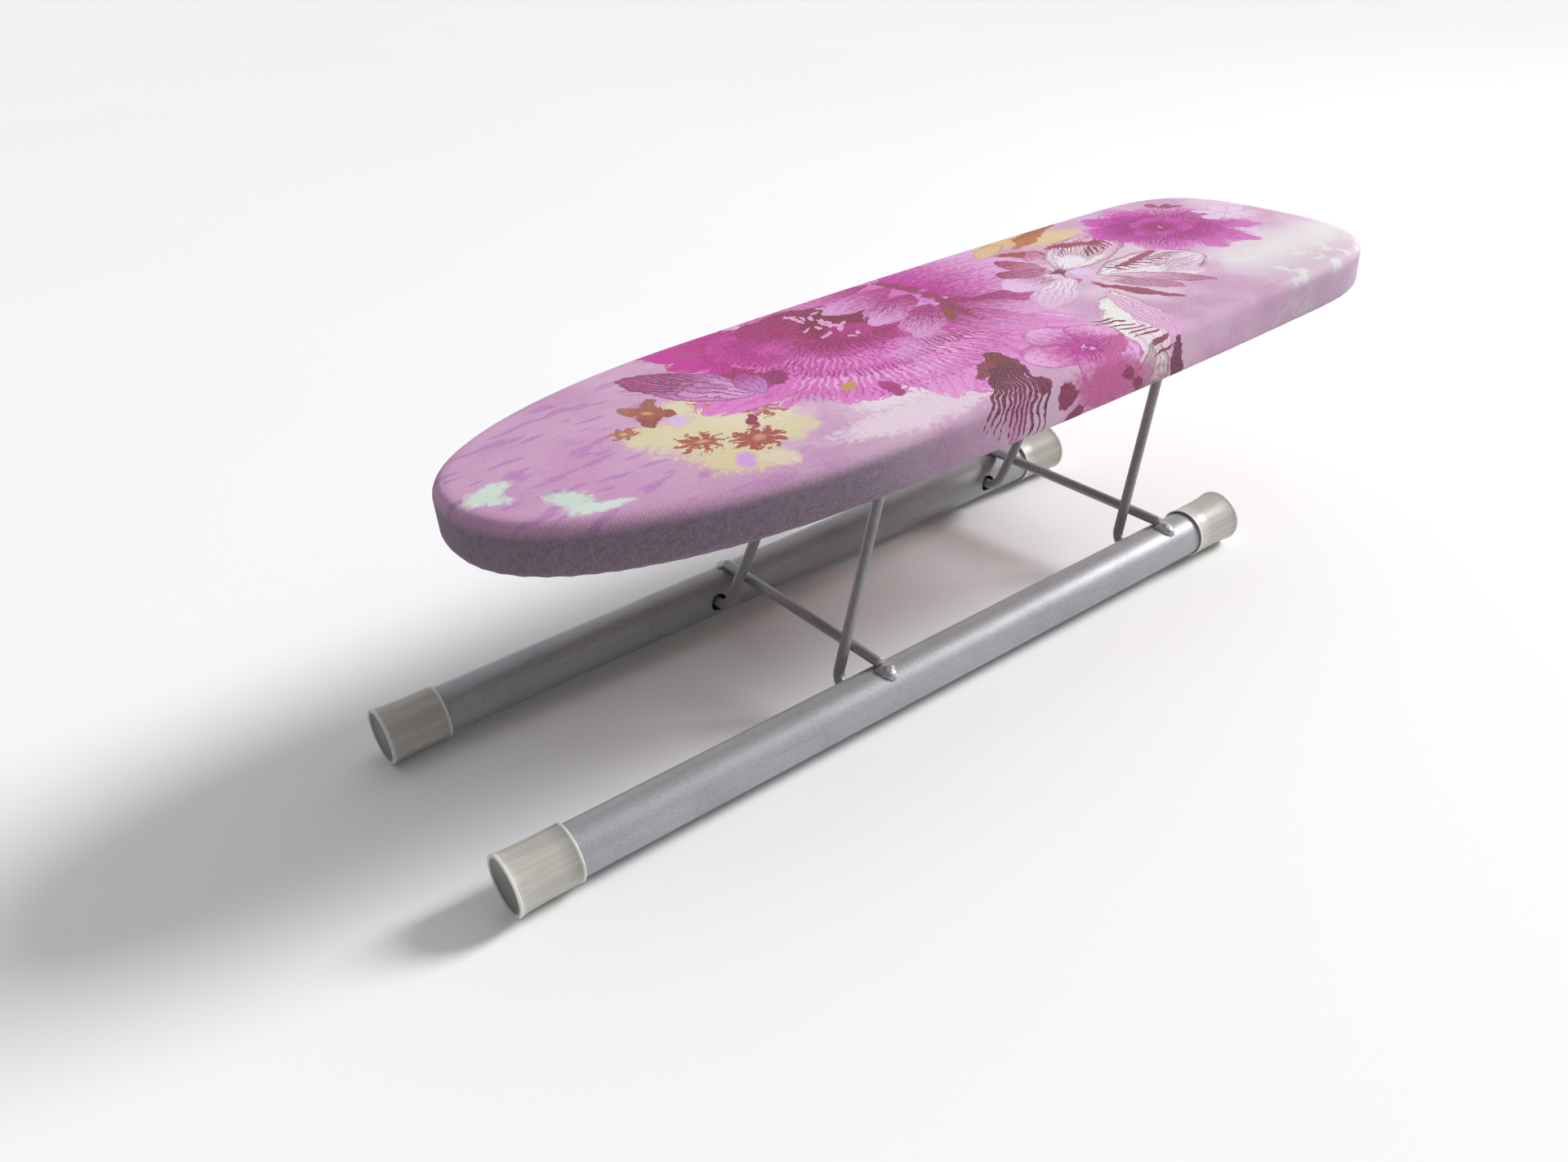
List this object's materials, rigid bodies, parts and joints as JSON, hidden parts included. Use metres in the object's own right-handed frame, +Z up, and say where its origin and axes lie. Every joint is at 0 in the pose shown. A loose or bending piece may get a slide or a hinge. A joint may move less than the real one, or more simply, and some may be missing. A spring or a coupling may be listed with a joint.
{
  "type": "sleeve ironing board",
  "caption": "Small tabletop board that a sleeve slips over for ironing; its padded, covered deck folds down on wire legs onto a tubular base.",
  "frame": {"origin": "bottom centre of the whole object's bounding box, on the surface it stands on", "axes": "+Z up; +X along the board from its rounded nose to its square tail; +Y across, to the right as seen from the tail"},
  "size_m": [0.5168, 0.1562, 0.1371],
  "materials": {
    "tube_paint": "satin",
    "wire_paint": "satin",
    "cap_plastic": "satin",
    "printed_cotton": "matte",
    "elastic": "matte",
    "pad_foam": "matte",
    "deck_wood": "matte",
    "zinc_plate": "satin"
  },
  "bodies": {
    "base": {"base_tube_left": "tube_paint", "base_tube_right": "tube_paint", "end_cap_front_left": "cap_plastic", "end_cap_front_right": "cap_plastic", "end_cap_rear_left": "cap_plastic", "end_cap_rear_right": "cap_plastic", "cross_rod_front": "wire_paint", "cross_rod_rear": "wire_paint", "weld_bead_front_left": "wire_paint", "weld_bead_front_right": "wire_paint", "weld_bead_rear_left": "wire_paint", "weld_bead_rear_right": "wire_paint"},
    "front_leg": {"leg_front": "wire_paint"},
    "rear_leg": {"leg_rear": "wire_paint"},
    "board": {"deck": "deck_wood", "foam_pad": "pad_foam", "cover": "printed_cotton", "hem_elastic": "elastic", "saddle_clip_front_left": "zinc_plate", "saddle_clip_front_right": "zinc_plate", "saddle_clip_rear_left": "zinc_plate", "saddle_clip_rear_right": "zinc_plate", "clip_screw_front_left_nose_side": "zinc_plate", "clip_screw_front_left_tail_side": "zinc_plate", "clip_screw_front_right_nose_side": "zinc_plate", "clip_screw_front_right_tail_side": "zinc_plate", "clip_screw_rear_left_nose_side": "zinc_plate", "clip_screw_rear_left_tail_side": "zinc_plate", "clip_screw_rear_right_nose_side": "zinc_plate", "clip_screw_rear_right_tail_side": "zinc_plate"}
  },
  "joints": [
    {"name": "front_leg_fold", "type": "hinge", "parent": "base", "child": "front_leg", "pos_m": [-0.0884, 0, 0.01294], "axis": [0, -1, 0], "range_deg": [0, 107.9]},
    {"name": "rear_leg_fold", "type": "hinge", "parent": "base", "child": "rear_leg", "pos_m": [0.0921, 0, 0.01294], "axis": [0, -1, 0], "range_deg": [0, 107.9]},
    {"name": "board_level", "type": "hinge", "parent": "front_leg", "child": "board", "pos_m": [-0.0384, 0, 0.1128], "axis": [0, -1, 0], "range_deg": [-107.9, 0]}
  ],
  "couplings": [
    {"joint": "rear_leg_fold", "follows": "front_leg_fold", "ratio": 1},
    {"joint": "board_level", "follows": "front_leg_fold", "ratio": -1}
  ]
}
